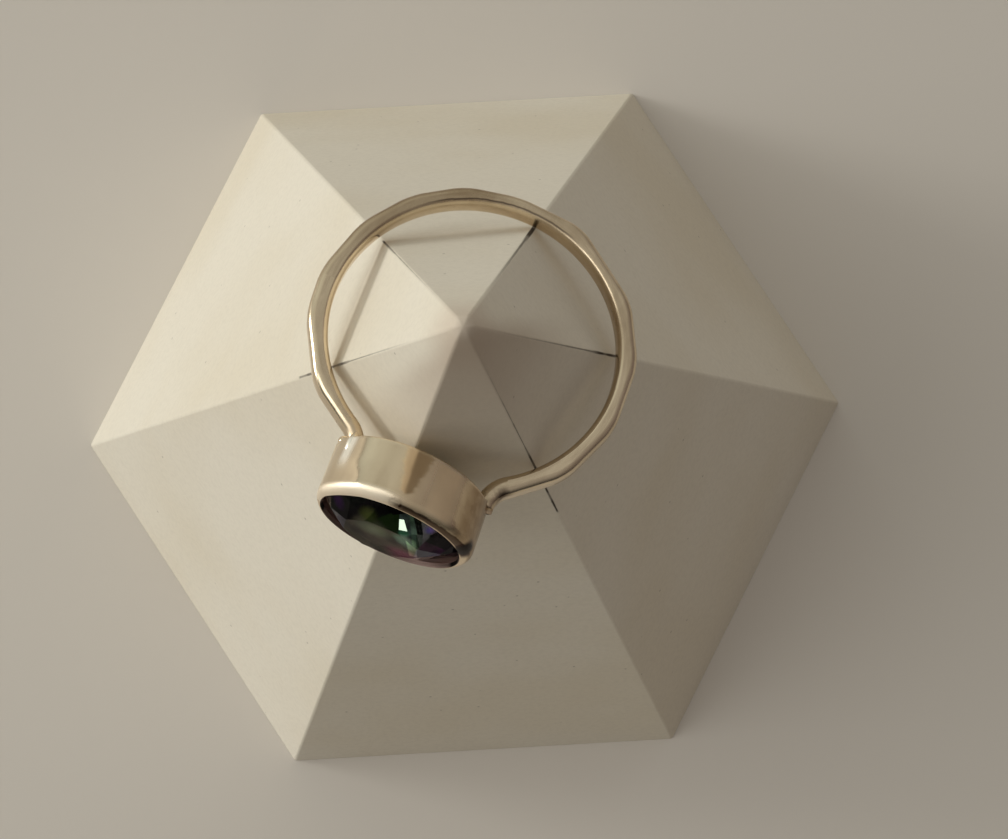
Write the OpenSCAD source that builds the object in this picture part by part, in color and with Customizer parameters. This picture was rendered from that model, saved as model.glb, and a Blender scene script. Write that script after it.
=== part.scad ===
// Silver ring with a round faceted stone in a cup setting, hung on a six-sided ring stand.
// Millimetres, +Z up, origin at the centre of the stand's foot, the stone towards -Y.

/* [Band] */
// Inside diameter of the band
ring_inner_d = 17.4; // [16:0.1:19]
// Width of the band along the finger
band_w = 1.55; // [1.2:0.05:2.4]
// Thickness of the band before hammering
band_t = 1.25; // [1:0.05:1.8]
// Rounding of the band's two inside edges
inner_round = 0.35; // [0.1:0.05:0.5]
// Rounding of the band's two outside edges
outer_round = 0.3; // [0.1:0.05:0.4]

/* [Setting] */
// Outside diameter of the cup at its back
cup_back_d = 10; // [9.9:0.1:11]
// Outside diameter of the cup where the rim starts to roll over the stone
cup_roll_d = 9.8; // [9.7:0.1:10.6]
// Height of the straight wall, from the back to the start of the roll
cup_wall_h = 2.55; // [2.4:0.05:3.5]
// Outside radius of the rolled rim
roll_r = 1.35; // [0.9:0.05:1.5]
// Thickness of the rolled rim
roll_t = 0.28; // [0.2:0.02:0.4]
// How far round the rim is rolled, in degrees
roll_turn = 51; // [40:1:55]
// How far outside the finger hole the back of the cup lies
cup_rise = 0.65; // [0.4:0.05:1.5]
// Thickness of the back plate
back_t = 0.7; // [0.5:0.05:1.2]
// Diameter of the light hole in the back plate
back_hole_d = 4.8; // [3:0.1:5.4]
// Turn of the cup round the band, away from the stand's front corner, in degrees
head_turn = 3.6; // [-6:0.1:6]

/* [Stone] */
// Diameter of the stone at its girdle
stone_d = 8.9; // [8.4:0.05:8.9]
// Diameter across the corners of the table
table_d = 4.8; // [4:0.1:6]
// How far the table sits off the stone's centre, to the right seen from above
table_shift = -0.35; // [-0.5:0.05:0.5]
// Turn of the stone in its cup, in degrees
stone_turn = 22.5; // [0:0.5:45]
// Height of the crown above the girdle
crown_h = 1.45; // [1:0.05:1.8]
// Thickness of the girdle
girdle_t = 0.2; // [0.1:0.02:0.3]
// Depth of the pavilion below the girdle
pavilion_h = 2.4; // [2:0.05:2.5]

/* [Stand] */
// Distance from the stand's centre to each corner of its foot
stand_r = 28.5; // [25:0.5:35]
// Height at which the stand's six faces would meet
stand_h = 68.5; // [60:0.5:90]
// Radius of the stand's rounded tip
tip_r = 0.9; // [0.5:0.05:1.5]

/* [How the ring hangs] */
// Tilt of the ring, stone side up, in degrees
ring_tilt = 16.2; // [15.5:0.1:16.5]
// How far the ring's centre lies behind the stand's axis
ring_back = 1.2; // [1.16:0.02:1.24]
// How much smaller than the finger hole the stand is at the ring's centre, in radius
seat_allow = 0.61; // [0.6:0.01:1.2]

/* [Hidden] */
$fn = 96;

SILVER = [0.78, 0.74, 0.66];
STONE = [0.12, 0.22, 0.20];
PLASTER = [0.86, 0.84, 0.78];

hole_r = ring_inner_d / 2;
band_r = hole_r + band_t;
ring_z = stand_h * (1 - (hole_r - seat_allow) / stand_r);

// One row for each hammered flat: its angle round the band from the stone, seen from above
// and positive to the right, and how deep it is struck below the band's outside radius
FLAT_ANGLE = 0;
FLAT_DEPTH = 1;
FLATS = [
    [-34, 0.45], [-57, 0.31], [-84, 0.13], [-105, 0.29], [-125, 0.31], [-145, 0.31], [-167, 0.39],
    [177, 0.37], [160, 0.25], [144, 0.41], [117, 0.29], [93, 0.35], [69, 0.29], [42, 0.31]
];

// Each end of the band leaves the finger's circle this far from the stone's direction, forged
// this thick, and turns outwards through this angle into the cup's back
right_start = 35;
right_t = 1.1;
right_turn = 62;
left_start = 31;
left_t = 0.82;
left_turn = 56;
// Radius of that turn, on the finger's side
flare_r = 2.6;
// A bead of solder in the corner behind the left end: its radius, and how far it sits from the
// cup's axis
solder_r = 0.55;
solder_x = 4.2;

// Places in the cup, measured from its back. The girdle's middle lies this far above the start
// of the roll.
girdle_rise = 0.15;
cup_r = cup_roll_d / 2;
roll_centre = cup_r - roll_r;
stone_r = stone_d / 2;
girdle_z = cup_wall_h + girdle_rise;
table_z = girdle_z + girdle_t / 2 + crown_h;
culet_z = girdle_z - girdle_t / 2 - pavilion_h;

// The stone's facets: slopes in degrees from the girdle's plane. The halves touch the girdle's
// circle and so stand a little off it at the mains, which pass through the halves' corners.
FACETS = 8;
step = 360 / FACETS;
table_r = table_d / 2;
culet_r = 0.15;
corner_cut = 0.01;
upper_half_slope = atan(crown_h / (stone_r - table_r)) + 5;
upper_scallop = stone_r * (1 - cos(step / 4)) * tan(upper_half_slope) - corner_cut;
main_slope = atan((crown_h - upper_scallop) / (stone_r - table_r + corner_cut));
star_slope = 0.72 * main_slope;
// How far the crown leans sideways, per millimetre of height, to carry the table off centre
crown_lean = table_shift / crown_h;
lower_half_slope = atan(pavilion_h / stone_r) + 1.2;
lower_scallop = stone_r * (1 - cos(step / 4)) * tan(lower_half_slope) - corner_cut;
pavilion_slope = atan((pavilion_h - lower_scallop) / (stone_r - culet_r));

// The ledge that carries the stone: how far it reaches under the girdle, and its gap below
ledge_reach = 0.6;
stone_gap = 0.1;
ledge_r = stone_r - ledge_reach;
ledge_z = girdle_z - girdle_t / 2 - ledge_reach * tan(lower_half_slope) - stone_gap;

// The stand's faces
CORNERS = 6;
side = 360 / CORNERS;
foot_flat_r = stand_r * cos(side / 2);
face_lean = atan(foot_flat_r / stand_h);
// The tip's ball is centred where the stand is just narrower than the ball
ball_fill = 0.95;
tip_z = stand_h * (1 - ball_fill * tip_r / stand_r);

// A block larger than any piece it keeps a part of
BLOCK = 180;

// Everything on the inner side of a plane, whose normal leans out by slope from straight up
module within(angle, radius, height, slope) {
    rotate([0, 0, angle])
        translate([radius, 0, height])
            rotate([0, slope, 0])
                translate([-BLOCK / 2, -BLOCK / 2, -BLOCK])
                    cube(BLOCK);
}

// The band's cross-section: a bar with rounded edges, its inside at x = 0
module band_section(thick) {
    top = band_w / 2;
    polygon([
        [0, inner_round - top], [inner_round, -top], [thick - outer_round, -top],
        [thick, outer_round - top], [thick, top - outer_round], [thick - outer_round, top],
        [inner_round, top], [0, top - inner_round]
    ]);
    for (end = [-1, 1]) {
        translate([inner_round, end * (top - inner_round)]) circle(r = inner_round);
        translate([thick - outer_round, end * (top - outer_round)]) circle(r = outer_round);
    }
}

// The round part of the band, hammered flat by flat, with the gap towards -Y
module band_round() {
    intersection() {
        rotate([0, 0, right_start - 90])
            rotate_extrude(angle = 360 - right_start - left_start)
                translate([hole_r, 0]) band_section(band_t);
        intersection_for (flat = FLATS)
            within(flat[FLAT_ANGLE] - 90, band_r - flat[FLAT_DEPTH], 0, 90);
    }
}

// The end of the band on the right, seen from above
module band_end(start, thick, turn) {
    rotate([0, 0, start - 90])
        translate([hole_r + flare_r, 0, 0])
            rotate([0, 0, 180])
                rotate_extrude(angle = turn)
                    translate([flare_r, 0]) mirror([1, 0]) band_section(thick);
}

module band() {
    band_round();
    band_end(right_start, right_t, right_turn);
    mirror([1, 0, 0]) band_end(left_start, left_t, left_turn);
}

// Half of the cup's cross-section, from the edge of the light hole to the rolled rim
module cup_section() {
    polygon([
        [back_hole_d / 2, 0], [cup_back_d / 2, 0], [cup_r, cup_wall_h],
        [cup_r - roll_t, cup_wall_h], [cup_r - roll_t, ledge_z], [ledge_r, ledge_z],
        [ledge_r, back_t], [back_hole_d / 2, back_t]
    ]);
    translate([roll_centre, cup_wall_h])
        intersection() {
            difference() {
                circle(r = roll_r);
                circle(r = roll_r - roll_t);
            }
            polygon([[0, 0], [2 * roll_r, 0], 2 * roll_r * [cos(roll_turn), sin(roll_turn)]]);
        }
}

// From the cup's own frame, with its back at z = 0, to the ring's place on the stand
module on_ring() {
    translate([0, ring_back, ring_z])
        rotate([-ring_tilt, 0, 0])
            rotate([0, 0, head_turn])
                children();
}

module at_head() {
    translate([0, -(hole_r + cup_rise), 0])
        rotate([90, 0, 0])
            children();
}

// Band and cup, soldered into one piece
module silver_ring() {
    color(SILVER)
        on_ring() {
            band();
            at_head() {
                rotate_extrude() cup_section();
                translate([-solder_x, 0, 0]) sphere(r = solder_r);
            }
        }
}

// A crown facet's slope once the crown leans, for the facet that faces this angle
function leaned(angle, slope) = atan(tan(slope) / (1 - crown_lean * tan(slope) * cos(angle)));

// Round stone: table, kites, stars and halves above the girdle, mains and halves below
module topaz() {
    crown_base = girdle_z + girdle_t / 2;
    pavilion_base = girdle_z - girdle_t / 2;
    table_flat_r = table_r * cos(step / 2);
    mains = [for (k = [0 : FACETS - 1]) stone_turn + k * step];
    stars = [for (a = mains) a + step / 2];
    halves = [for (k = [0 : 2 * FACETS - 1]) stone_turn + (k + 0.5) * step / 2];
    color(STONE)
        on_ring() at_head()
            intersection() {
                translate([0, 0, culet_z]) cylinder(r = stone_r, h = table_z - culet_z);
                intersection_for (a = mains)
                    within(a, stone_r, crown_base + upper_scallop, leaned(a, main_slope));
                intersection_for (a = stars)
                    within(a, table_flat_r + table_shift * cos(a), table_z, leaned(a, star_slope));
                intersection_for (a = halves)
                    within(a, stone_r, crown_base, leaned(a, upper_half_slope));
                intersection_for (a = mains)
                    within(a, stone_r, pavilion_base - lower_scallop, 180 - pavilion_slope);
                intersection_for (a = halves)
                    within(a, stone_r, pavilion_base, 180 - lower_half_slope);
            }
}

// Six-sided spire with a rounded tip
module ring_stand() {
    color(PLASTER)
        intersection() {
            intersection_for (angle = [0 : side : 360 - side])
                within(angle, foot_flat_r, 0, 90 - face_lean);
            union() {
                cylinder(r = 2 * stand_r, h = tip_z);
                translate([0, 0, tip_z]) sphere(r = tip_r);
            }
        }
}

silver_ring();
topaz();
ring_stand();
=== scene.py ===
"""Silver ring with a round topaz in a cup setting, hung on a six-sided plaster ring stand."""

import math

import bpy
from bpy.props import FloatProperty, FloatVectorProperty, PointerProperty
from mathutils import Matrix, Vector


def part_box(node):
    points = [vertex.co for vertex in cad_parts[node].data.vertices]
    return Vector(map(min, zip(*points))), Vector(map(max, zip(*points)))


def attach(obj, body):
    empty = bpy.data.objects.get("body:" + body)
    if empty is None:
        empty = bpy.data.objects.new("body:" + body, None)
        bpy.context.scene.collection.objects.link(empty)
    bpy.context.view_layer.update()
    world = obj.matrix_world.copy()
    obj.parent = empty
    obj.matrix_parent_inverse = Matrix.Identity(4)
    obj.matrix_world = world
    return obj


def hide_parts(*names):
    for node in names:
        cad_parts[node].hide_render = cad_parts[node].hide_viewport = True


bl_info = {
    "name": "Topaz Ring on a Ring Stand",
    "version": (1, 0, 0),
    "blender": (4, 5, 0),
    "location": "View3D > Sidebar > Ring Stand",
    "description": "Models the hammered band, the cup setting, the topaz and the plaster stand",
    "category": "Add Mesh",
}

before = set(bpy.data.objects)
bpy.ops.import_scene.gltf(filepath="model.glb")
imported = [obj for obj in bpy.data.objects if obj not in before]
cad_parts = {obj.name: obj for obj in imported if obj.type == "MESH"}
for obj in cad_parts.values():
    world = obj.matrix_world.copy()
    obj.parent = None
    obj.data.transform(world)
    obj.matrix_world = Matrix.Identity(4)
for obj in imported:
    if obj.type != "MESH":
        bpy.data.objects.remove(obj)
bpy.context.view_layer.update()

MM = 0.001
FULL_TURN = 2 * math.pi
# Vertices closer than MERGE are made one, and a cut passes through what lies closer than TOUCH
MERGE = 0.0005 * MM
TOUCH = 0.00001 * MM
STAND_LOW, STAND_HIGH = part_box("ring_stand")
# From the middle of the stand's foot to each of its corners, in millimetres
FOOT_REACH = (STAND_HIGH.y - STAND_LOW.y) / 2 / MM


# Sizes and colours that a user would change


def length(name, description, millimetres):
    return FloatProperty(name=name, description=description, default=millimetres * MM, unit="LENGTH")


def angle(name, description, degrees):
    return FloatProperty(
        name=name, description=description, default=math.radians(degrees), subtype="ANGLE"
    )


def power(name, description, watts):
    return FloatProperty(name=name, description=description, default=watts, unit="POWER")


def colour(name, description, rgb):
    return FloatVectorProperty(
        name=name, description=description, default=rgb, size=3, min=0, max=1, subtype="COLOR"
    )


def point(name, description, millimetres):
    return FloatVectorProperty(
        name=name,
        description=description,
        default=[part * MM for part in millimetres],
        subtype="TRANSLATION",
        unit="LENGTH",
    )


class RingHang(bpy.types.PropertyGroup):
    """Where the ring hangs on the stand"""

    centre: point("Centre", "Middle of the finger hole", (0, 1.2, 49.055))
    tilt: angle("Tilt", "How far the stone's side is lifted", 16.2)
    turn: angle("Turn", "Turn of the setting away from the stand's front corner", 3.6)


class BandSizes(bpy.types.PropertyGroup):
    """The hammered band"""

    finger_r: length("Finger radius", "Inside radius of the band", 8.7)
    width: length("Width", "Width of the band along the finger", 1.55)
    thick: length("Thickness", "Thickness before hammering", 1.40)
    inner_round: length("Inside rounding", "Rounding of the two edges that touch the finger", 0.45)
    ridge_soft: length("Ridge softness", "Width of the rounding between two hammered flats", 0.85)
    edge_soft: length("Edge softness", "Rounding of the two outside edges", 0.46)
    right_start: angle("Right start", "Where the right end leaves the finger's circle", 35)
    right_turn: angle("Right turn", "How far the right end turns outwards", 62)
    left_start: angle("Left start", "Where the left end leaves the finger's circle", 31)
    left_turn: angle("Left turn", "How far the left end turns outwards", 56)
    flare_r: length("End turn radius", "Radius of the turn of both ends, on the finger's side", 2.6)


class CupSizes(bpy.types.PropertyGroup):
    """The cup that holds the stone"""

    rise: length("Rise", "How far outside the finger hole the cup's back lies", 0.65)
    back_r: length("Back radius", "Outside radius at the back", 4.84)
    roll_start_r: length("Roll start radius", "Outside radius where the rim starts to roll", 4.88)
    wall_h: length("Wall height", "Height of the straight wall", 2.97)
    roll_r: length("Roll radius", "Outside radius of the rolled rim", 0.65)
    roll_turn: angle("Roll turn", "How far round the rim is rolled", 75)
    lean: FloatVectorProperty(
        name="Lean",
        description="How far the wall leans to the right and up, for each millimetre of its height",
        default=(0.06, 0.13),
        size=2,
    )
    back_turn: angle("Back turn", "Turn of the back's rim towards the stand at its top", 2.4)
    lip: length("Lip thickness", "Thickness of the wall at the rim", 0.28)
    back_t: length("Back thickness", "Thickness of the back plate", 0.7)
    hole_r: length("Hole radius", "Radius of the light hole in the back plate", 2.4)
    ledge_r: length("Ledge radius", "Inside radius of the ledge under the stone", 3.85)
    ledge_h: length("Ledge height", "Height of the ledge above the cup's back", 2.16)


class StoneSizes(bpy.types.PropertyGroup):
    """The round faceted stone"""

    girdle_r: length("Girdle radius", "Radius at the girdle", 4.45)
    girdle_z: length("Girdle height", "Height of the girdle's middle above the cup's back", 2.7)
    girdle_t: length("Girdle thickness", "Thickness of the girdle", 0.2)
    table_r: length("Table radius", "Radius to the corners of the table", 2.4)
    table_shift: length("Table shift", "How far the table sits off centre, to the right", -0.35)
    crown_h: length("Crown height", "Height of the crown above the girdle", 1.45)
    pavilion_h: length("Pavilion depth", "Depth of the pavilion below the girdle", 2.4)
    culet_r: length("Culet radius", "Radius of the small flat at the bottom", 0.15)
    turn: angle("Turn", "Turn of the stone in its cup", 22.5)


class StandSizes(bpy.types.PropertyGroup):
    """The plaster stand"""

    corner_r: length("Corner radius", "From the foot's middle to each corner", FOOT_REACH)
    apex_h: length("Apex height", "Height at which the six faces would meet", 68.5)
    tip_start: length("Tip start", "Height at which the tip starts to round over", 66.2)
    tip_rise: length("Tip rise", "Height of the rounded tip", 1.1)
    edge_soft: length("Edge softness", "Width of the rounded long edges", 0.16)


class Finishes(bpy.types.PropertyGroup):
    """Colours of the metal, the stone and the plaster"""

    silver: colour("Silver", "Clean silver", (0.94, 0.80, 0.59))
    warm_silver: colour("Warm silver", "Silver of the cup, faintly golden", (0.95, 0.73, 0.47))
    # This colour also paints the shade at the cup's right end
    tarnish_and_shade: colour("Tarnish", "Silver where it has darkened", (0.30, 0.20, 0.11))
    plaster: colour("Plaster", "Dry cast plaster", (0.84, 0.78, 0.67))
    rub: colour("Rub marks", "Dark marks that the metal leaves on the plaster", (0.05, 0.035, 0.025))
    floor: colour("Floor", "The surface that the stand is on", (0.74, 0.69, 0.63))


class StageSettings(bpy.types.PropertyGroup):
    """Camera and lights"""

    azimuth: angle("Camera azimuth", "Turn of the camera round the stand", 18.67)
    elevation: angle("Camera elevation", "Height of the camera above the horizon", 85.418)
    roll: angle("Camera roll", "Turn of the picture", 8.045)
    distance: length("Camera distance", "Distance from the camera to its target", 228.03)
    target: point("Camera target", "Point that the camera looks at", (2.475, 1.634, 0))
    lens: FloatProperty(name="Lens", description="Focal length in millimetres", default=107.14)
    low_azimuth: angle("Window azimuth", "Direction of the low window light, from +X", 192)
    low_elevation: angle("Window elevation", "Height of the low window light", 12)
    low_size: length("Window size", "Side of the low window light", 200)
    low_power: power("Window power", "Power of the low window light", 2.3)
    high_azimuth: angle("Soft light azimuth", "Direction of the soft light, from +X", 205)
    high_elevation: angle("Soft light elevation", "Height of the soft light", 50)
    high_size: length("Soft light size", "Side of the soft light", 460)
    high_power: power("Soft light power", "Power of the soft light", 1.1)
    front_azimuth: angle("Front light azimuth", "Direction of the faint light in front, from +X", 249)
    front_elevation: angle("Front light elevation", "Height of the faint light in front", 15)
    front_size: length("Front light size", "Side of the faint light in front", 300)
    front_power: power("Front light power", "Power of the faint light in front", 0.28)
    light_distance: length("Light distance", "Distance of all three lights", 800)
    room_light: FloatProperty(
        name="Room light", description="Strength of the room's own light", default=1
    )


GROUPS = {
    "ringstand_hang": RingHang,
    "ringstand_band": BandSizes,
    "ringstand_cup": CupSizes,
    "ringstand_stone": StoneSizes,
    "ringstand_stand": StandSizes,
    "ringstand_finishes": Finishes,
    "ringstand_stage": StageSettings,
}


# Modelling helpers


def deselect():
    if bpy.context.object and bpy.context.object.mode != "OBJECT":
        bpy.ops.object.mode_set(mode="OBJECT")
    bpy.ops.object.select_all(action="DESELECT")


def take(obj):
    """Selects one object alone and makes it active."""
    deselect()
    obj.select_set(True)
    bpy.context.view_layer.objects.active = obj


def pick(obj, mode, wanted):
    """Selects the vertices, edges or faces that wanted() accepts, and ends in edit mode."""
    bpy.ops.object.mode_set(mode="EDIT")
    bpy.ops.mesh.select_mode(type=mode)
    bpy.ops.mesh.select_all(action="DESELECT")
    bpy.ops.object.mode_set(mode="OBJECT")
    mesh = obj.data
    chosen = {"VERT": mesh.vertices, "EDGE": mesh.edges, "FACE": mesh.polygons}[mode]
    for item in chosen:
        item.select = bool(wanted(item))
    bpy.ops.object.mode_set(mode="EDIT")


def pick_between(obj, wanted):
    """Selects the edges whose two faces' normals wanted() accepts, and stays in edit mode."""
    sides = {}
    for face in obj.data.polygons:
        for key in face.edge_keys:
            sides.setdefault(key, []).append(face.normal.copy())
    keys = {key for key, normals in sides.items() if len(normals) == 2 and wanted(*normals)}
    pick(obj, "EDGE", lambda e: e.key in keys)


def bevel_between(obj, offset, segments, wanted):
    """Rounds the edges whose two faces' normals wanted() accepts, and stays in edit mode."""
    pick_between(obj, wanted)
    bpy.ops.mesh.bevel(offset=offset, segments=segments, affect="EDGES")


def merge_flats(obj, limit):
    """Makes one face of each flat patch and takes out the vertices along its straight edges."""
    pick_between(obj, lambda a, b: a.angle(b) < limit)
    bpy.ops.mesh.dissolve_edges(use_verts=False)
    bpy.ops.object.mode_set(mode="OBJECT")
    mesh = obj.data
    leaving = {}
    for edge in mesh.edges:
        start, end = edge.vertices
        along = mesh.vertices[end].co - mesh.vertices[start].co
        leaving.setdefault(start, []).append(along)
        leaving.setdefault(end, []).append(-along)
    pairs = {index: ways for index, ways in leaving.items() if len(ways) == 2}
    straight = {index for index, (one, other) in pairs.items() if one.angle(-other) < limit}
    pick(obj, "VERT", lambda v: v.index in straight)
    bpy.ops.mesh.dissolve_verts()


def smooth(obj, degrees):
    """Shades smoothly across edges below an angle, led by the larger faces."""
    take(obj)
    bpy.ops.object.shade_smooth_by_angle(angle=math.radians(degrees))
    modifier = obj.modifiers.new("Larger Faces", "WEIGHTED_NORMAL")
    modifier.keep_sharp = True
    bpy.ops.object.modifier_apply(modifier=modifier.name)


def close_up():
    """Merges doubles and turns every face outwards, in edit mode, then leaves it."""
    bpy.ops.mesh.select_all(action="SELECT")
    bpy.ops.mesh.remove_doubles(threshold=MERGE)
    bpy.ops.mesh.normals_make_consistent(inside=False)
    bpy.ops.object.mode_set(mode="OBJECT")


def named(name):
    """The primitive just added, with a name, and with its place left in its mesh."""
    obj = bpy.context.object
    obj.name = obj.data.name = name
    bpy.ops.object.transform_apply()
    return obj


def set_in_place(obj, matrix):
    """Moves a finished piece to its place and leaves the place in its mesh."""
    take(obj)
    obj.matrix_world = matrix @ obj.matrix_world
    bpy.ops.object.transform_apply()


def join(objects, name):
    deselect()
    for obj in objects:
        obj.select_set(True)
    bpy.context.view_layer.objects.active = objects[0]
    bpy.ops.object.join()
    objects[0].name = name
    objects[0].data.name = name
    return objects[0]


def cut(co, no):
    """Cuts off what lies past a plane, in edit mode, and closes the mesh there."""
    bpy.ops.mesh.select_all(action="SELECT")
    bpy.ops.mesh.bisect(plane_co=co, plane_no=no, use_fill=True, clear_outer=True, threshold=TOUCH)


def drawn_out(name, rings, segments):
    """A closed shape: a circle is drawn out ring by ring along (centre, radius) pairs."""
    deselect()
    centre, radius = rings[0]
    bpy.ops.mesh.primitive_circle_add(vertices=segments, radius=radius, location=centre)
    obj = named(name)
    bpy.ops.object.mode_set(mode="EDIT")
    bpy.ops.mesh.select_mode(type="EDGE")
    bpy.ops.mesh.select_all(action="SELECT")
    for next_centre, next_radius in rings[1:] + rings[:1]:
        bpy.ops.mesh.extrude_region_move(TRANSFORM_OT_translate={"value": next_centre - centre})
        scale = next_radius / radius
        bpy.ops.transform.resize(value=(scale, scale, 1), center_override=next_centre)
        centre, radius = next_centre, next_radius
    close_up()
    return obj


def polar(radius, degrees):
    turn = math.radians(degrees)
    return Vector((radius * math.cos(turn), radius * math.sin(turn), 0))


def ring_place(scene):
    """From the ring's own frame, its axis on Z and the stone towards -Y, to where it hangs."""
    hang = scene.ringstand_hang
    tilted = Matrix.Rotation(-hang.tilt, 4, "X") @ Matrix.Rotation(hang.turn, 4, "Z")
    return Matrix.Translation(hang.centre) @ tilted


def cup_place(scene):
    """From the cup's own frame, its back at Z = 0, to where it is soldered on the hanging ring."""
    out = scene.ringstand_band.finger_r + scene.ringstand_cup.rise
    on_ring = Matrix.Translation((0, -out, 0)) @ Matrix.Rotation(math.pi / 2, 4, "X")
    return ring_place(scene) @ on_ring


# Shader helpers


class Value:
    """A shader value. An expression on it adds the Math nodes that work it out."""

    def __init__(self, finish, socket):
        self.finish = finish
        self.socket = socket

    def work(self, operation, *inputs):
        return self.finish.node("ShaderNodeMath", {"operation": operation}, dict(enumerate(inputs)))

    def __add__(self, other):
        return self.work("ADD", self, other)

    def __sub__(self, other):
        return self.work("SUBTRACT", self, other)

    def __rsub__(self, other):
        return self.work("SUBTRACT", other, self)

    def __mul__(self, other):
        return self.work("MULTIPLY", self, other)

    __radd__ = __add__
    __rmul__ = __mul__

    def size(self):
        return self.work("ABSOLUTE", self)

    def at_most(self, other):
        return self.work("MINIMUM", self, other)

    def at_least(self, other):
        return self.work("MAXIMUM", self, other)

    def steps(self, low, high):
        """0 below low, 1 above high and smooth between. With low above high it falls instead."""
        low, high, start, end = (low, high, 0, 1) if low < high else (high, low, 1, 0)
        return self.finish.node(
            "ShaderNodeMapRange",
            {"interpolation_type": "SMOOTHSTEP"},
            {"Value": self, "From Min": low, "From Max": high, "To Min": start, "To Max": end},
        )

    def around(self, middle, outer, inner):
        """1 within inner of a middle value, 0 beyond outer and smooth between."""
        return (self - middle).size().steps(outer, inner)


class Finish:
    """A material, or the room's light, under construction. Its places are in millimetres."""

    def __init__(self, owner, shader="Principled BSDF"):
        owner.use_nodes = True
        self.owner = owner
        self.tree = owner.node_tree
        self.shader = self.tree.nodes[shader]
        metres = self.node("ShaderNodeTexCoord", {}, {}, "Object")
        self.place = self.mapped({"Vector": metres, "Scale": (MM, MM, MM)})

    def node(self, kind, settings, inputs, output=0):
        """Adds a node, sets it up, feeds it values or links, and returns one of its outputs."""
        node = self.tree.nodes.new(kind)
        for name, value in settings.items():
            setattr(node, name, value)
        for name, value in inputs.items():
            self.feed(node.inputs[name], value)
        return Value(self, node.outputs[output])

    def feed(self, socket, value):
        if isinstance(value, Value):
            self.tree.links.new(value.socket, socket)
        elif socket.type == "RGBA" and len(value) == 3:
            socket.default_value = (*value, 1)
        else:
            socket.default_value = value

    def set(self, inputs):
        """Sets the shader's own sockets."""
        for name, value in inputs.items():
            self.feed(self.shader.inputs[name], value)

    def mix(self, amount, first, second):
        return self.node("ShaderNodeMix", {"data_type": "RGBA"}, {0: amount, 6: first, 7: second}, 2)

    def mapped(self, inputs):
        """Coordinates seen from a place of its own location, rotation and scale."""
        return self.node("ShaderNodeMapping", {"vector_type": "TEXTURE"}, inputs)

    def vector(self, x, y, z):
        return self.node("ShaderNodeCombineXYZ", {}, {0: x, 1: y, 2: z})

    def vector_math(self, operation, inputs, output="Vector"):
        return self.node("ShaderNodeVectorMath", {"operation": operation}, inputs, output)

    def marked(self, name, output):
        """The value or colour that the mesh's own attribute gives."""
        return self.node("ShaderNodeAttribute", {"attribute_name": name}, {}, output)

    def noise(self, per_mm, detail=3, roughness=0.5, place=None):
        place = place or self.place
        inputs = {"Vector": place, "Scale": per_mm, "Detail": detail, "Roughness": roughness}
        return self.node("ShaderNodeTexNoise", {}, inputs)

    def raise_by(self, height, distance, strength):
        """Bumps the surface by a varying height, over a distance in metres."""
        inputs = {"Height": height, "Distance": distance, "Strength": strength}
        self.set({"Normal": self.node("ShaderNodeBump", {}, inputs)})


class OwnFrame:
    """A piece's own frame in a finish: x, y, z and the reach from its axis in mm, and the turn."""

    def __init__(self, finish, matrix):
        self.finish = finish
        self.place = finish.mapped({
            "Vector": finish.place,
            "Location": matrix.translation / MM,
            "Rotation": matrix.to_euler(),
        })
        split = finish.node("ShaderNodeSeparateXYZ", {}, {0: self.place}).socket.node
        self.x, self.y, self.z = (Value(finish, socket) for socket in split.outputs)
        self.reach = finish.vector_math("LENGTH", {0: finish.vector(self.x, self.y, 0)}, "Value")
        self.turn = self.y.work("ARCTAN2", self.y, self.x)

    def near(self, point, reach):
        """1 at a point of this frame, falling smoothly to 0 at reach."""
        away = self.finish.vector_math("DISTANCE", {0: self.place, 1: point}, "Value")
        return away.steps(reach, 0)


# Places in the cup's own frame, in millimetres, and the two ends of the recess under the rim with
# the reach of the shade in them
LEFT_JOINT = (-4.4, 0, -0.2)
RIGHT_JOINT = (4.4, 0, -0.2)
FOLD_HEIGHT = 3.53
FOLD_NICK = (-0.25, 4.8, 3.42)
# Painted shade: the corner at the rim's right end, by the stone, is painted nearly black
DARK_CORNER = (4.4, 1.8, 3.35)
# A dark spot on the band's right end, below the cup's back
DARK_END_SPOT = (5.4, 0.7, -0.9)
RECESS_ENDS = [((4.27, -1.06, 3.35), 1.1), ((-4.30, -0.91, 3.45), 0.8)]
# How far from the ring's axis the file line lies, in millimetres
FILE_LINE_REACH = 9.02

# Dark brown of the marks and of the painted shade in the rim's corner, then the nearly black painted
# shade of that corner
BROWN_MARKS_AND_SHADE = (0.05, 0.022, 0.012)
CORNER_SHADE = (0.008, 0.004, 0.002)
# Painted highlights: the brighter rim on the cup's left, and the near-white glare down its end
LIT_RIM = (0.98, 0.87, 0.71)
PAINTED_GLARE = (0.99, 0.96, 0.88)
RECESS_LOW = (0.62, 0.44, 0.39)
RECESS_HIGH = (0.24, 0.17, 0.15)
RECESS_SHADE = (0.006, 0.004, 0.003)


def band_tarnish(ring, forged, cloudy):
    """Tarnish of the band: outside most at the back and left, inside most at the right."""
    to_right = ring.x.steps(1, 7)
    to_left = ring.x.steps(0, -5)
    to_back = ring.y.steps(-2, 5)
    inside = ring.reach.steps(8.95, 8.75)
    outside = (1 - inside * 0.85) * (0.08 + forged * 0.2 + to_back * (0.14 + to_left * 0.4))
    return outside + inside * (cloudy * 0.1 + 0.1 + to_right * 0.45)


def cup_shade_and_streaks(cup, patchy):
    """Painted shade on the cup's right end, a painted dark reflection, and two faint streaks down its
    wall.
    """
    # Painted shade: the right end is darkened where its reflection is painted dark
    right_end = cup.turn.size().steps(0.95, 0.68) * cup.z.steps(3.5, 3.3)
    streaks = cup.turn.around(1.98, 0.24, 0.04) * 0.28 + cup.turn.around(1.62, 0.42, 0.14) * 0.26
    return right_end * (0.74 + patchy * 0.12) + streaks


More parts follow.
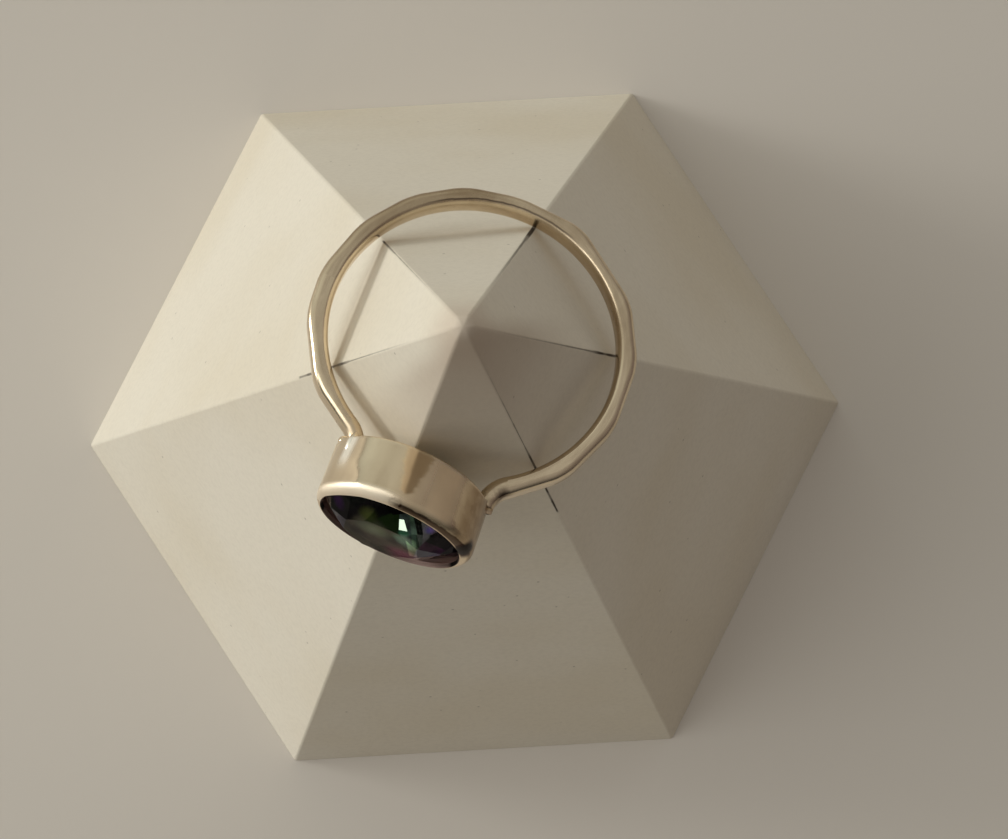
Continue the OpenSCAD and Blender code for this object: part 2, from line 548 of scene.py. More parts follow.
def file_line(ring, patchy):
    """A thin brown line filed inside the band at its back."""
    line = (ring.reach + patchy * 0.03).around(FILE_LINE_REACH, 0.07, 0.02)
    return line * ring.turn.steps(1.15, 1.35) * ring.turn.steps(2.4, 2.1) * ring.z.steps(0, 0.3)


def fold_line(cup, patchy):
    """The brown line where the rim was folded over, wider towards its right end."""
    away = (cup.z + patchy * 0.04 - FOLD_HEIGHT).size() - cup.turn.steps(1.0, 0.3) * 0.15
    line = away.steps(0.14, 0.06) * cup.reach.steps(4.4, 4.5)
    return line * cup.turn.steps(1.75, 1.5) * cup.turn.steps(0.1, 0.25)


def recess_colour(finish, cup):
    """Dull silver between the rolled rim and the ledge, with painted shade, nearly black, at its two
    ends.
    """
    ends = sum(cup.near(place, reach) for place, reach in RECESS_ENDS)
    dull = finish.mix(cup.z.steps(3.25, 3.5), RECESS_LOW, RECESS_HIGH)
    return finish.mix((ends * 2).at_most(1), dull, RECESS_SHADE)


def silver_finish(scene):
    """Polished silver with soft hammering and scratches, darkened inside the band and at the rim,
    with painted shade on the cup's right and painted highlights on its left.
    """
    looks = scene.ringstand_finishes
    rim_start = scene.ringstand_cup.wall_h / MM
    finish = Finish(bpy.data.materials.new("silver"))
    cup = OwnFrame(finish, cup_place(scene))
    ring = OwnFrame(finish, ring_place(scene))
    on_cup = cup.z.steps(-0.1, 0.15)
    on_rim = cup.z.steps(rim_start - 0.2, rim_start + 0.3)
    along_band = finish.vector(ring.turn * 1.2, ring.reach, ring.z)
    along_cup = finish.vector(cup.turn * 4, cup.reach, cup.z * 0.25)
    forged = finish.noise(1.8, 3, 0.6, along_band).steps(0.36, 0.66)
    drawn = finish.noise(1.5, 2, 0.5, along_cup).steps(0.4, 0.7)
    cloudy = finish.noise(0.26, 4, 0.6).steps(0.45, 0.75)
    patchy = finish.noise(1.5, 3).steps(0.35, 0.6)

    joints = cup.near(LEFT_JOINT, 1.2) * 0.4 + cup.near(RIGHT_JOINT, 1.5) * patchy
    band = (1 - on_cup) * band_tarnish(ring, forged, cloudy)
    # Stains at the solder joints, and the painted shade of the cup's right end
    stains_and_shade = joints * 0.6 + on_cup * cup_shade_and_streaks(cup, patchy)
    tarnish_and_shade = (cloudy * 0.1 + drawn * 0.08 + band + stains_and_shade).at_most(0.97)
    # Painted shade in the corner at the rim's right end
    corner = (cup.near(DARK_CORNER, 0.85) * 2.2).at_most(1)
    spots = (cup.near(FOLD_NICK, 0.5) + cup.near(DARK_END_SPOT, 0.9)) * patchy
    lines = fold_line(cup, patchy) * 0.9 + file_line(ring, patchy) * 0.7
    brown_marks_and_shade = (lines + spots + corner * 0.95).at_most(1)

    # The cup's left, on the window's side, is painted brighter and less tarnished at the rim, a
    # painted highlight. Solder has run down its end, and that rough streak is painted near-white, a
    # painted glare. The right is duller.
    lit_left = cup.turn.steps(1.45, 1.9) * on_cup
    run_and_glare = cup.turn.around(2.56, 0.16, 0.03) * cup.z.steps(2.4, 1.2) * on_cup
    sheen = cup.turn.around(1.12, 0.27, 0.1) * cup.z.steps(3.4, 3) * on_cup
    recess = finish.marked("recess", "Fac")

    silver = finish.mix((on_cup - lit_left) * 0.4, looks.silver, looks.warm_silver)
    silver = finish.mix(tarnish_and_shade * (1 - lit_left * on_rim * 0.8), silver, looks.tarnish_and_shade)
    silver = finish.mix(lit_left * on_rim, silver, LIT_RIM)
    silver = finish.mix(run_and_glare * 0.85, silver, PAINTED_GLARE)
    # Dark brown marks, with painted shade in the rim's corner, then that corner's painted shade
    # nearly black
    silver = finish.mix(brown_marks_and_shade, silver, BROWN_MARKS_AND_SHADE)
    silver = finish.mix(corner * 0.9, silver, CORNER_SHADE)
    polished = 0.2 + tarnish_and_shade * 0.1 - on_cup * 0.08 + on_rim * (0.14 + lit_left * 0.26)
    dulled = cup.near(LEFT_JOINT, 2.2) * 0.25 + run_and_glare * 0.35 + sheen * 0.42 + recess * 0.4
    finish.set({
        "Metallic": 1,
        "Base Color": finish.mix(recess, silver, recess_colour(finish, cup)),
        "Roughness": (polished + dulled).at_most(0.8),
    })
    hammering = finish.noise(0.42, 2, 0.4) + forged * 0.12
    dents = hammering + drawn * 0.05 + finish.noise(0.7, 2) * on_rim * 0.7
    finish.raise_by(dents, 0.08 * MM, 0.3)
    return finish.owner


# How much of the plaster's red, green and blue its warm clouds keep
WARM_CLOUDS = (0.93, 0.90, 0.84)
SPECKS = (0.22, 0.18, 0.14)
GRAIN = (0.45, 0.40, 0.33)
# Painted shade: colours that darken the plaster round the tip and on the faces turned right and front
TIP_SHADE = (0.62, 0.50, 0.40)
FRONT_SHADE = (0.44, 0.34, 0.26)


def plaster_finish(scene):
    """Matte off-white plaster with fine grain, specks, painted shade round the tip and on the faces
    turned right and front, and the ring's rub marks.
    """
    looks = scene.ringstand_finishes
    finish = Finish(bpy.data.materials.new("plaster"))
    stand = OwnFrame(finish, Matrix())
    warm = [share * kept for share, kept in zip(looks.plaster, WARM_CLOUDS, strict=True)]
    body = finish.mix(finish.noise(0.045, 3).steps(0.35, 0.7) * 0.8, looks.plaster, warm)
    cells = {"Vector": finish.place, "Scale": 0.7}
    dots = finish.node("ShaderNodeTexVoronoi", {}, cells, "Distance").steps(0.08, 0.04)
    specks = dots * finish.noise(0.33, 1).steps(0.54, 0.60)
    body = finish.mix(specks * 0.5, body, SPECKS)
    grain = finish.noise(2.6, 3, 0.6)
    body = finish.mix(grain.steps(0.35, 0.75) * 0.10, body, GRAIN)
    # Painted shade round the tip, then higher up on the faces turned right and front
    body = finish.mix(stand.z.steps(62, 66.5) * 0.5, body, TIP_SHADE)
    front = (stand.x * 0.77 - stand.y * 0.64).steps(-0.6, 1.2)
    body = finish.mix(stand.z.steps(48, 65) * front * 0.6, body, FRONT_SHADE)
    body = finish.mix(rub_marks(finish, stand, scene.ringstand_hang), body, looks.rub)
    finish.set({"Base Color": body, "Roughness": 0.85, "Specular IOR Level": 0.2})
    finish.raise_by(grain - specks * 0.6, 0.03 * MM, 0.4)
    return finish.owner


# Dark marks along the stand's long edges where the band rubs: the edge's azimuth, how far below
# and above the band they run, and how wide they are, in millimetres
RUB_MARKS = [
    (210, 7, 13, 0.10), (150, 1.5, 14, 0.09), (90, 1.5, 14, 0.15), (30, 2.5, 17, 0.11),
    (330, 8, 19, 0.09), (270, 2, 9, 0.06),
]


def rub_marks(finish, stand, hang):
    """Dark where the band touches the stand's edges, then a thin fading line up each of them."""
    centre = hang.centre / MM
    above = (stand.z - centre.z) + (stand.y - centre.y) * math.tan(hang.tilt)
    wobble = finish.noise(0.9, 2) * 0.06
    patchy = finish.noise(0.42, 2).steps(0.34, 0.56)
    total = 0
    for azimuth, low, high, width in RUB_MARKS:
        edge = polar(1, azimuth)
        from_edge = (stand.x * edge.y - stand.y * edge.x).size() + wobble
        side = (stand.x * edge.x + stand.y * edge.y).steps(0.1, 0.4)
        pressed = (from_edge - width).steps(0.03, -0.03) * above.steps(2.8, 0.4)
        line = (from_edge - 0.6 * width).steps(0.03, -0.02) * above.steps(high, 1)
        reach = above.steps(-low, 0.5 - low) * side
        total = total + reach * (pressed * (0.5 + patchy * 0.45)).at_least(line * 0.7)
    return total.at_most(0.95)


PALETTE = {
    "night": (0.001, 0.001, 0.0015),
    "violet": (0.016, 0.001, 0.055),
    "plum": (0.022, 0.005, 0.022),
    "forest": (0.06, 0.11, 0.012),
    "teal": (0.10, 0.17, 0.15),
    "sea": (0.36, 0.66, 0.40),
    "pale sea": (0.17, 0.25, 0.17),
    "lilac": (0.08, 0.05, 0.42),
    "dusk": (0.13, 0.11, 0.17),
    "smoke": (0.42, 0.50, 0.26),
    "umber": (0.15, 0.12, 0.07),
    "mauve": (0.16, 0.105, 0.10),
    "rose": (0.48, 0.10, 0.17),
    "tan": (0.22, 0.11, 0.08),
    "moss shade": (0.010, 0.035, 0.006),
    "slate": (0.05, 0.06, 0.075),
    "deep teal": (0.006, 0.014, 0.013),
    "pine": (0.05, 0.30, 0.13),
    "glint": (0.82, 1.0, 0.80),
    "mist": (0.78, 0.86, 0.78),
    "haze": (0.62, 0.60, 0.70),
    "moss": (0.50, 0.78, 0.52),
}
# Painted fire and reflections of the crown's facets, from the right end anticlockwise, for each row
# of facets
CROWN_FIRE = {
    "main": ("night", "teal", "night", "night", "mauve", "mauve", "mauve", "night"),
    "star": ("teal", "moss shade", "night", "dusk", "mauve", "umber", "mauve", "dusk"),
    "half": (
        "night", "dusk", "night", "night", "night", "night", "mauve", "tan",
        "mauve", "mauve", "mauve", "mauve", "plum", "mauve", "night", "night",
    ),
}
TABLE_FIRE = "umber"
# Lines across the crown where the light inside changes, in millimetres from the cup's axis: the
# facet that the line lies on, and two points of it
FIRE_LINES = [
    ((0.65, 2.9), (0.31, 3.23), (0.51, 2.52)),
    ((0.65, 2.9), (0.57, 3.24), (0.99, 2.51)),
    ((0.60, 2.9), (0.31, 3.23), (0.57, 3.24)),
    ((0.60, 2.9), (0.51, 2.52), (0.99, 2.51)),
    ((1.40, 2.9), (1.13, 3.32), (1.52, 2.56)),
    ((1.80, 2.9), (1.62, 3.12), (1.91, 2.47)),
    ((1.60, 2.1), (1.52, 2.56), (1.86, 1.40)),
    ((1.90, 2.1), (1.91, 2.47), (2.06, 1.44)),
    ((3.00, 1.3), (2.10, 1.90), (3.30, 0.90)),
]
# What shines in the pieces between those lines, by a point in each
FIRE_PATCHES = [
    ((0.20, 2.9), "moss shade"), ((0.65, 2.85), "glint"), ((0.60, 3.4), "moss shade"),
    ((0.75, 2.4), "pine"), ((1.10, 2.9), "teal"), ((1.50, 3.0), "night"), ((2.05, 2.8), "dusk"),
    ((1.30, 2.2), "deep teal"), ((1.85, 2.1), "slate"), ((2.05, 2.2), "dusk"),
    ((2.50, 1.0), "plum"), ((3.40, 1.6), "night"),
]
# Soft painted glows in the crown's colour and emission: the middle of each in the cup's frame and its
# reach, in millimetres
FIRE_GLOWS = [
    ((-0.90, 1.25, 4.25), 1.5, "smoke"), ((1.20, -1.15, 4.25), 1.5, "rose"),
    ((0.75, 1.70, 4.25), 0.7, "sea"), ((1.10, 1.25, 4.25), 0.8, "sea"),
    ((1.42, 0.80, 4.25), 0.7, "pale sea"), ((0.85, 2.30, 4.00), 0.5, "pine"),
    ((-1.39, 2.45, 4.00), 0.8, "forest"), ((-0.35, 2.75, 3.98), 0.6, "moss shade"),
    ((-3.40, 1.30, 3.55), 0.75, "violet"), ((2.13, 2.84, 3.49), 0.42, "lilac"),
]
PAVILION_FIRE = ("moss", "haze", "mist", "haze", "moss", "mist", "haze", "mist")
FOIL_CLOUD = (0.6, 0.68, 0.6)


def crown_finish(scene):
    """Clear stone, painted facet by facet with the fire and reflections it shows and with soft
    painted glows, and glowing faintly by its own emission.
    """
    finish = Finish(bpy.data.materials.new("topaz crown"))
    cup = OwnFrame(finish, cup_place(scene))
    veil = finish.noise(0.9, 2).steps(0.42, 0.66) * 0.7
    fire = finish.mix(veil, finish.marked("fire", "Color"), PALETTE["night"])
    for place, spread, glow in FIRE_GLOWS:
        fire = finish.mix(cup.near(place, spread), fire, PALETTE[glow])
    finish.set({
        "Base Color": fire,
        "Transmission Weight": 1,
        "Roughness": 0.02,
        "IOR": 1.08,
        "Specular Tint": (0.2, 0.2, 0.2),
        # Painted light: the crown glows faintly in its own painted colours
        "Emission Color": fire,
        "Emission Strength": 0.1,
    })
    return finish.owner


def foil_finish():
    """The mirror-like coat on the stone's back facets."""
    finish = Finish(bpy.data.materials.new("topaz foil"))
    cloud = finish.noise(0.7, 2).steps(0.3, 0.7) * 0.4
    coat = finish.mix(cloud, finish.marked("fire", "Color"), FOIL_CLOUD)
    finish.set({"Base Color": coat, "Metallic": 1, "Roughness": 0.08})
    return finish.owner


def glint_finish():
    """The one facet with a painted glint, glowing near-white by its own emission."""
    finish = Finish(bpy.data.materials.new("topaz glint"))
    fire = finish.marked("fire", "Color")
    finish.set({
        "Base Color": fire,
        "Roughness": 0.15,
        "Emission Color": fire,
        "Emission Strength": 0.72,
    })
    return finish.owner


# The pieces


# How far the stand's faces lean in, for each millimetre along them
FACE_LEAN = 0.34


class RINGSTAND_OT_stand(bpy.types.Operator):
    """Adds the six-sided plaster stand"""

    bl_idname = "ringstand.stand"
    bl_label = "Plaster Stand"

    def execute(self, context):
        sizes = context.scene.ringstand_stand
        deselect()
        bpy.ops.mesh.primitive_cone_add(
            vertices=6,
            radius1=sizes.corner_r,
            depth=sizes.apex_h,
            location=(0, 0, sizes.apex_h / 2),
        )
        stand = named("plaster_stand")
        bpy.ops.object.mode_set(mode="EDIT")
        cut((0, 0, sizes.tip_start), (0, 0, 1))
        close_up()
        bevel_between(stand, sizes.edge_soft, 5, lambda a, b: abs(a.z) < 0.9 and abs(b.z) < 0.9)
        close_up()
        self.round_tip(stand, sizes)
        bevel_between(
            stand, sizes.edge_soft, 3, lambda a, b: min(a.z, b.z) < -0.9 and max(a.z, b.z) > 0
        )
        close_up()
        smooth(stand, 25)
        stand.data.materials.append(plaster_finish(context.scene))
        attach(stand, "root")
        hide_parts("ring_stand")
        return {"FINISHED"}

    def round_tip(self, stand, sizes):
        """Draws the cut top up into a dome that starts along the faces."""
        pick(stand, "FACE", lambda f: f.normal.z > 0.99)
        lean = math.asin(FACE_LEAN)
        rings = 9
        reach, height = 1, 0
        for k in range(1, rings + 1):
            turn = lean + (math.pi / 2 - lean) * k / rings
            next_reach = max(math.cos(turn) / math.cos(lean), 0.04)
            next_height = sizes.tip_rise * (math.sin(turn) - math.sin(lean)) / (1 - math.sin(lean))
            rise = {"value": (0, 0, next_height - height)}
            bpy.ops.mesh.extrude_region_move(TRANSFORM_OT_translate=rise)
            scale = next_reach / reach
            bpy.ops.transform.resize(value=(scale, scale, 1), center_override=(0, 0, 0))
            reach, height = next_reach, next_height
        close_up()


# One row for each hammered flat: its angle round the band from the stone, positive to the right,
# and how deep it is struck below the band's outside radius
FLATS = [
    (-34, 0.45), (-61, 0.31), (-84, 0.13), (-105, 0.29), (-125, 0.31), (-145, 0.31), (-167, 0.39),
    (177, 0.40), (144, 0.44), (117, 0.29), (93, 0.35), (69, 0.29), (42, 0.31),
]


class RINGSTAND_OT_band(bpy.types.Operator):
    """Adds the hammered band with its two outturned ends"""

    bl_idname = "ringstand.band"
    bl_label = "Hammered Band"

    def execute(self, context):
        sizes = context.scene.ringstand_band
        start = sizes.right_start - math.pi / 2
        end = FULL_TURN - math.pi / 2 - sizes.left_start
        band = self.section(sizes)
        bpy.ops.mesh.spin(steps=150, angle=start - end, center=(0, 0, 0), axis=(0, 0, 1))
        close_up()
        set_in_place(band, Matrix.Rotation(start, 4, "Z"))
        bpy.ops.object.mode_set(mode="EDIT")
        for degrees, depth in FLATS:
            outwards = polar(1, degrees - 90)
            cut(outwards * (sizes.finger_r + sizes.thick - depth * MM), outwards)
        close_up()
        merge_flats(band, math.radians(0.5))
        close_up()
        bevel_between(band, sizes.ridge_soft, 8, is_ridge)
        close_up()
        self.turn_end(band, sizes, start, -sizes.right_turn)
        self.turn_end(band, sizes, end, sizes.left_turn)
        bevel_between(band, sizes.edge_soft, 5, is_outside_edge)
        close_up()
        smooth(band, 40)
        return {"FINISHED"}

    def section(self, sizes):
        """The band's cross-section as a face in the XZ plane, its finger side rounded."""
        middle = sizes.finger_r + sizes.thick / 2
        deselect()
        upright = (math.pi / 2, 0, 0)
        bpy.ops.mesh.primitive_plane_add(size=1, location=(middle, 0, 0), rotation=upright)
        bpy.context.object.scale = (sizes.thick, sizes.width, 1)
        section = named("Band")
        pick(section, "VERT", lambda v: v.co.x < middle)
        bpy.ops.mesh.bevel(offset=sizes.inner_round, segments=8, affect="VERTICES")
        bpy.ops.mesh.select_all(action="SELECT")
        return section

    def turn_end(self, band, sizes, at, turn):
        """Draws an end of the band on, turning outwards."""
        along = Vector((math.cos(at), math.sin(at), 0))
        across = Vector((-along.y, along.x, 0))
        pick(
            band,
            "FACE",
            lambda f: abs(f.normal.dot(across)) > 0.999
            and abs(f.center.dot(across)) < 0.01 * MM
            and f.center.dot(along) > 0,
        )
        bpy.ops.mesh.spin(
            steps=24, angle=turn, center=along * (sizes.finger_r + sizes.flare_r), axis=(0, 0, 1)
        )
        close_up()


def is_ridge(a, b):
    """Whether an edge lies between two hammered flats."""
    return abs(a.z) < 0.01 and abs(b.z) < 0.01 and 4 < math.degrees(a.angle(b)) < 60


def is_outside_edge(a, b):
    """Whether an edge lies between a side of the band and its hammered face."""
    return min(abs(a.z), abs(b.z)) < 0.1 and max(abs(a.z), abs(b.z)) > 0.99


def cup_rings(sizes):
    """The cup's rings as (centre, radius) pairs: from the light hole out, over the rim and in."""
    roll_centre = sizes.roll_start_r - sizes.roll_r
    soft = 0.1 * MM
    lean = Vector((*sizes.lean, 0))
    upright_h = 1.4 * MM

    def ring(radius, height, askew=0):
        return lean * (height - upright_h) * askew + Vector((0, 0, height)), radius

    def rolled(reach, turn, askew=0):
        height = sizes.wall_h + reach * math.sin(turn)
        return ring(roll_centre + reach * math.cos(turn), height, askew)

    rings = [
        ring(sizes.hole_r, soft),
        ring(sizes.hole_r + soft, 0),
        ring(sizes.back_r - soft, 0, 1),
        ring(sizes.back_r, soft, 1),
    ]
    rows = 8
    for k in range(1, rows + 1):
        share = k / rows
        flare = (sizes.roll_start_r - sizes.back_r) * math.sin(share * math.pi / 2)
        rings.append(ring(sizes.back_r + flare, soft + (sizes.wall_h - soft) * share, 1))
    arc = 14
    for k in range(1, arc + 1):
        rings.append(rolled(sizes.roll_r, sizes.roll_turn * k / arc, 1 - k / arc))
    for share in (0.15, 0.5, 0.85):
        bulge = 0.05 * math.sin(math.pi * share)
        rings.append(rolled(sizes.roll_r - sizes.lip * share, sizes.roll_turn + bulge))
    for k in range(arc, -1, -1):
        rings.append(rolled(sizes.roll_r - sizes.lip, sizes.roll_turn * k / arc))
    return rings + [
        ring(sizes.roll_start_r - sizes.lip, sizes.ledge_h),
        ring(sizes.ledge_r, sizes.ledge_h),
        ring(sizes.ledge_r, sizes.back_t),
        ring(sizes.hole_r, sizes.back_t),
    ]


# Solder behind the band's left end: each bead's radius and place in millimetres, and its stretch
SOLDER_BEADS = [
    (0.55, (-4.2, 0, 0), (1.15, 1.0, 0.8)),
    (0.4, (-4.45, 0.75, -0.1), (1.1, 1.0, 0.9)),
    (0.45, (-4.0, 2.3, 0.35), (0.7, 0.7, 1.7)),
]
# Where the rolled rim is pressed in: how far round the cup from its right, in degrees, from its
# axis and above its back, then how far the dent spreads and how deep it is
PRESSED_TURN = 141
PRESSED_REACH = 4.72 * MM
PRESSED_HEIGHT = 3.2 * MM
PRESSED_SPREAD = 1.5 * MM
PRESSED_DEPTH = 0.13 * MM


class RINGSTAND_OT_setting(bpy.types.Operator):
    """Adds the cup setting and solders it to the band"""

    bl_idname = "ringstand.setting"
    bl_label = "Cup Setting"

    def execute(self, context):
        scene = context.scene
        sizes = scene.ringstand_cup
        cup = drawn_out("Cup", cup_rings(sizes), 96)
        self.set_askew(cup, sizes)
        self.mark_recess(cup, sizes)
        smooth(cup, 35)
        beads = [self.bead(*bead) for bead in SOLDER_BEADS]
        to_ring = ring_place(scene).inverted() @ cup_place(scene)
        for piece in (cup, *beads):
            set_in_place(piece, to_ring)
        ring = join([bpy.data.objects["Band"], cup, *beads], "hammered_ring")
        set_in_place(ring, ring_place(scene))
        ring.data.materials.clear()
        ring.data.materials.append(silver_finish(scene))
        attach(ring, "root")
        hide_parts("silver_ring")
        return {"FINISHED"}

    def set_askew(self, cup, sizes):
        """Turns the back's rim a little and presses the rolled rim in at the left."""
        pick(cup, "VERT", lambda v: v.co.z < 0.2 * MM and v.co.xy.length > sizes.back_r - 0.4 * MM)
        bpy.ops.transform.rotate(value=sizes.back_turn, orient_axis="X", center_override=(0, 0, 0))
        bpy.ops.object.mode_set(mode="OBJECT")
        pressed = polar(PRESSED_REACH, PRESSED_TURN) + Vector((0, 0, PRESSED_HEIGHT))
        pick(cup, "VERT", lambda v: (v.co - pressed).length < 0.3 * MM)
        bpy.ops.transform.translate(
            value=polar(-PRESSED_DEPTH, PRESSED_TURN),
            use_proportional_edit=True,
            proportional_edit_falloff="INVERSE_SQUARE",
            proportional_size=PRESSED_SPREAD,
        )
        close_up()

    def mark_recess(self, cup, sizes):
        """Marks the faces between the rolled rim and the ledge, which stay dark."""
        mark = cup.data.attributes.new("recess", "FLOAT", "FACE")
        for face in cup.data.polygons:
            inwards = face.normal.xy.dot(face.center.xy.normalized()) < -0.15
            mark.data[face.index].value = float(inwards and face.center.z > sizes.ledge_h)

    def bead(self, radius, place, stretch):
        """A bead of solder, stretched into a corner behind the band's left end."""
        deselect()
        bpy.ops.mesh.primitive_uv_sphere_add(
            segments=24, ring_count=16, radius=radius * MM, location=Vector(place) * MM
        )
        bpy.context.object.scale = stretch
        bead = named("Solder")
        bpy.ops.object.shade_smooth()
        return bead


# The crown and the pavilion have FACETS mains each. With the stars and halves between the mains,
# their facets face DIRECTIONS ways.
FACETS = 8
DIRECTIONS = 4 * FACETS


def facet_planes(sizes):
    """Each facet of the stone as a point on it and its outward normal, in the cup's frame."""
    step = FULL_TURN / FACETS
    corner_cut = 0.01 * MM
    crown_base = sizes.girdle_z + sizes.girdle_t / 2
    pavilion_base = sizes.girdle_z - sizes.girdle_t / 2
    table_z = crown_base + sizes.crown_h
    lean = sizes.table_shift / sizes.crown_h
    scallop = sizes.girdle_r * (1 - math.cos(step / 4))
    upper_half = math.atan(sizes.crown_h / (sizes.girdle_r - sizes.table_r)) + math.radians(5)
    upper_lift = scallop * math.tan(upper_half) - corner_cut
    main = math.atan((sizes.crown_h - upper_lift) / (sizes.girdle_r - sizes.table_r + corner_cut))
    star = 0.72 * main
    lower_half = math.atan(sizes.pavilion_h / sizes.girdle_r) + math.radians(1.2)
    lower_drop = scallop * math.tan(lower_half) - corner_cut
    pavilion = math.atan((sizes.pavilion_h - lower_drop) / (sizes.girdle_r - sizes.culet_r))
    flat_r = sizes.table_r * math.cos(step / 2)

    def plane(turn, radius, height, slope, up):
        if up:
            slope = math.atan(math.tan(slope) / (1 - lean * math.tan(slope) * math.cos(turn)))
        out = Vector((math.cos(turn), math.sin(turn), 0))
        normal = out * math.sin(slope) + Vector((0, 0, math.cos(slope) if up else -math.cos(slope)))
        return out * radius + Vector((0, 0, height)), normal

    planes = []
    for k in range(FACETS):
        at = sizes.turn + k * step
        planes.append(plane(at, sizes.girdle_r, crown_base + upper_lift, main, True))
        planes.append(plane(at, sizes.girdle_r, pavilion_base - lower_drop, pavilion, False))
        between = at + step / 2
        star_r = flat_r + sizes.table_shift * math.cos(between)
        planes.append(plane(between, star_r, table_z, star, True))
        for half in (at + step / 4, at + step * 3 / 4):
            planes.append(plane(half, sizes.girdle_r, crown_base, upper_half, True))
            planes.append(plane(half, sizes.girdle_r, pavilion_base, lower_half, False))
    return planes


# The stone's materials, in this order, and how far up a facet's normal points on the crown
CROWN, FOIL, GLINT = range(3)
CROWN_RISE = 0.1


class RINGSTAND_OT_topaz(bpy.types.Operator):
    """Cuts the topaz, facet by facet"""

    bl_idname = "ringstand.topaz"
    bl_label = "Topaz"

    def execute(self, context):
        scene = context.scene
        sizes = scene.ringstand_stone
        top = sizes.girdle_z + sizes.girdle_t / 2 + sizes.crown_h
        bottom = sizes.girdle_z - sizes.girdle_t / 2 - sizes.pavilion_h
        deselect()
        bpy.ops.mesh.primitive_cylinder_add(
            vertices=96,
            radius=sizes.girdle_r,
            depth=top - bottom,
            location=(0, 0, (top + bottom) / 2),
        )
        stone = named("cut_topaz")
        bpy.ops.object.mode_set(mode="EDIT")
        for co, no in facet_planes(sizes):
            cut(co, no)
        close_up()
        for facet, start, end in FIRE_LINES:
            self.part_facet(stone, facet, start, end)
        for finish in (crown_finish(scene), foil_finish(), glint_finish()):
            stone.data.materials.append(finish)
        self.light_fire(stone, sizes)
        set_in_place(stone, cup_place(scene))
        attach(stone, "root")
        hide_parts("topaz")
        return {"FINISHED"}

    def part_facet(self, stone, facet, start, end):
        """Parts the crown's facet over a point along an upright plane through two points."""
        over = [f.index for f in stone.data.polygons if shows(stone.data, f, facet)]
        if len(over) != 1:
            raise RuntimeError(f"{len(over)} facets lie over {facet}")
        pick(stone, "FACE", lambda f: f.index in over)
        along = Vector(end) - Vector(start)
        bpy.ops.mesh.bisect(
            plane_co=(*Vector(start) * MM, 0), plane_no=(along.y, -along.x, 0), threshold=TOUCH
        )
        bpy.ops.object.mode_set(mode="OBJECT")

    def light_fire(self, stone, sizes):
        """Gives each facet its colour and its share of the stone: clear crown or coated back."""
        mesh = stone.data
        fire = mesh.attributes.new("fire", "FLOAT_COLOR", "CORNER")
        step = FULL_TURN / DIRECTIONS
        for face in mesh.polygons:
            n = face.normal
            slot = round((math.atan2(n.y, n.x) - sizes.turn) / step) % DIRECTIONS
            if n.z > 0.999:
                name = TABLE_FIRE
            elif n.z > CROWN_RISE:
                row = ("main", "half", "star", "half")[slot % 4]
                name = CROWN_FIRE[row][slot // 2 if row == "half" else slot // 4]
            elif n.z < -CROWN_RISE:
                name = PAVILION_FIRE[(slot // 2 * 3) % FACETS]
            else:
                name = "night"
            for place, patch in FIRE_PATCHES:
                if shows(mesh, face, place):
                    name = patch
            face.material_index = CROWN if n.z > CROWN_RISE else FOIL
            if name == "glint":
                face.material_index = GLINT
            for corner in face.loop_indices:
                fire.data[corner].color = (*PALETTE[name], 1)


def shows(mesh, face, place):
    """Whether a facet is the crown's and lies over a place, in millimetres from the cup's axis."""
    x, y = Vector(place) * MM
    corners = [mesh.vertices[i].co for i in face.vertices]
    turns = [
        (b.x - a.x) * (y - a.y) - (b.y - a.y) * (x - a.x)
        for a, b in zip(corners, corners[1:] + corners[:1], strict=True)
    ]
    return face.normal.z > CROWN_RISE and min(turns) > 0


# The room's soft light: where each glow lies, from +X and above the horizon, and its colour
ROOM_GLOWS = [
    (45, 10, (0.17, 0.142, 0.132)),
    (135, 10, (0.54, 0.55, 0.49)),
    (200, 50, (0.12, 0.12, 0.112)),
    (270, 50, (0.12, 0.114, 0.102)),
    (0, 90, (0.23, 0.216, 0.196)),
]
DAYLIGHT = (1.0, 1.0, 0.95)


def towards(azimuth, elevation):
    """The direction of a place round the stand, from +X and above the horizon."""
    flat = math.cos(elevation)
    return Vector((math.cos(azimuth) * flat, math.sin(azimuth) * flat, math.sin(elevation)))


def room(stage):
    """Soft warm light from all round, stronger from the window's side."""
    light = Finish(bpy.data.worlds.new("room"), "Background")
    ray = light.node("ShaderNodeTexCoord", {}, {}, "Generated")
    total = (0, 0, 0)
    for azimuth, elevation, glow in ROOM_GLOWS:
        middle = towards(math.radians(azimuth), math.radians(elevation))
        near = light.vector_math("DOT_PRODUCT", {0: ray, 1: middle}, "Value").at_least(0)
        share = light.vector_math("SCALE", {0: glow, "Scale": near * near})
        total = light.vector_math("ADD", {0: share, 1: total})
    light.set({"Color": total, "Strength": stage.room_light})
    return light.owner


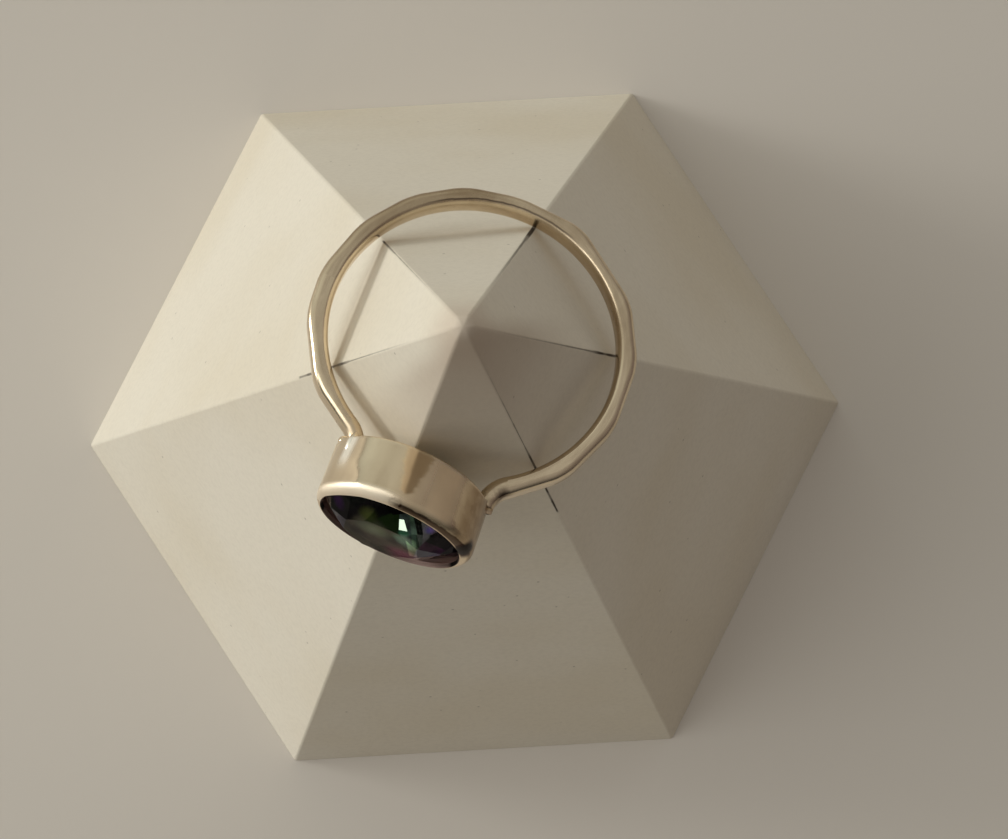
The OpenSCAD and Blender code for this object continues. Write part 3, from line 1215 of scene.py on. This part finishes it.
class RINGSTAND_OT_stage(bpy.types.Operator):
    """Adds the floor, the lights and the camera"""

    bl_idname = "ringstand.stage"
    bl_label = "Floor, Lights and Camera"

    def execute(self, context):
        scene = context.scene
        stage = scene.ringstand_stage
        deselect()
        bpy.ops.mesh.primitive_plane_add(size=3)
        floor = context.object
        floor.name = "floor"
        finish = Finish(bpy.data.materials.new("floor"))
        finish.set({"Base Color": scene.ringstand_finishes.floor, "Roughness": 0.8})
        floor.data.materials.append(finish.owner)

        scene.world = room(stage)
        scene.view_settings.view_transform = "Standard"

        for name in ("low", "high", "front"):
            azimuth, elevation, size, power = (
                getattr(stage, f"{name}_{part}") for part in ("azimuth", "elevation", "size", "power")
            )
            place = towards(azimuth, elevation) * stage.light_distance
            self.add_light(f"{name}_light", place, size, power)
        self.add_camera(scene, stage)
        return {"FINISHED"}

    def add_light(self, name, place, size, power):
        bpy.ops.object.light_add(type="AREA", location=place)
        light = bpy.context.object
        light.name = name
        light.rotation_euler = place.to_track_quat("Z", "Y").to_euler()
        light.data.size = size
        light.data.energy = power
        light.data.color = DAYLIGHT

    def add_camera(self, scene, stage):
        back = towards(stage.azimuth - math.pi / 2, stage.elevation)
        level = towards(stage.azimuth, 0)
        rise = back.cross(level)
        right = level * math.cos(stage.roll) + rise * math.sin(stage.roll)
        up = rise * math.cos(stage.roll) - level * math.sin(stage.roll)
        place = Matrix((right, up, back)).transposed().to_4x4()
        place.translation = Vector(stage.target) + back * stage.distance
        bpy.ops.object.camera_add()
        camera = bpy.context.object
        camera.name = "Camera"
        camera.matrix_world = place
        camera.data.sensor_width = 36
        camera.data.lens = stage.lens
        camera.data.clip_start = 0.01
        scene.camera = camera


OPERATORS = (
    RINGSTAND_OT_stand,
    RINGSTAND_OT_band,
    RINGSTAND_OT_setting,
    RINGSTAND_OT_topaz,
    RINGSTAND_OT_stage,
)


class RINGSTAND_PT_panel(bpy.types.Panel):
    """Lists the pieces in the order they are made"""

    bl_idname = "RINGSTAND_PT_panel"
    bl_label = "Ring Stand"
    bl_space_type = "VIEW_3D"
    bl_region_type = "UI"
    bl_category = "Ring Stand"

    def draw(self, context):
        for operator in OPERATORS:
            self.layout.operator(operator.bl_idname)
        for name, group in GROUPS.items():
            box = self.layout.box()
            box.label(text=group.__doc__)
            for prop in group.__annotations__:
                box.prop(getattr(context.scene, name), prop)


def register():
    for group in GROUPS.values():
        bpy.utils.register_class(group)
    for name, group in GROUPS.items():
        setattr(bpy.types.Scene, name, PointerProperty(type=group))
    for cls in (*OPERATORS, RINGSTAND_PT_panel):
        bpy.utils.register_class(cls)


def unregister():
    for cls in (RINGSTAND_PT_panel, *reversed(OPERATORS)):
        bpy.utils.unregister_class(cls)
    for name in GROUPS:
        delattr(bpy.types.Scene, name)
    for group in reversed(GROUPS.values()):
        bpy.utils.unregister_class(group)


def main():
    register()
    bpy.ops.ringstand.stand()
    bpy.ops.ringstand.band()
    bpy.ops.ringstand.setting()
    bpy.ops.ringstand.topaz()
    bpy.ops.ringstand.stage()
    deselect()
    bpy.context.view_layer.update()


if __name__ == "__main__":
    main()
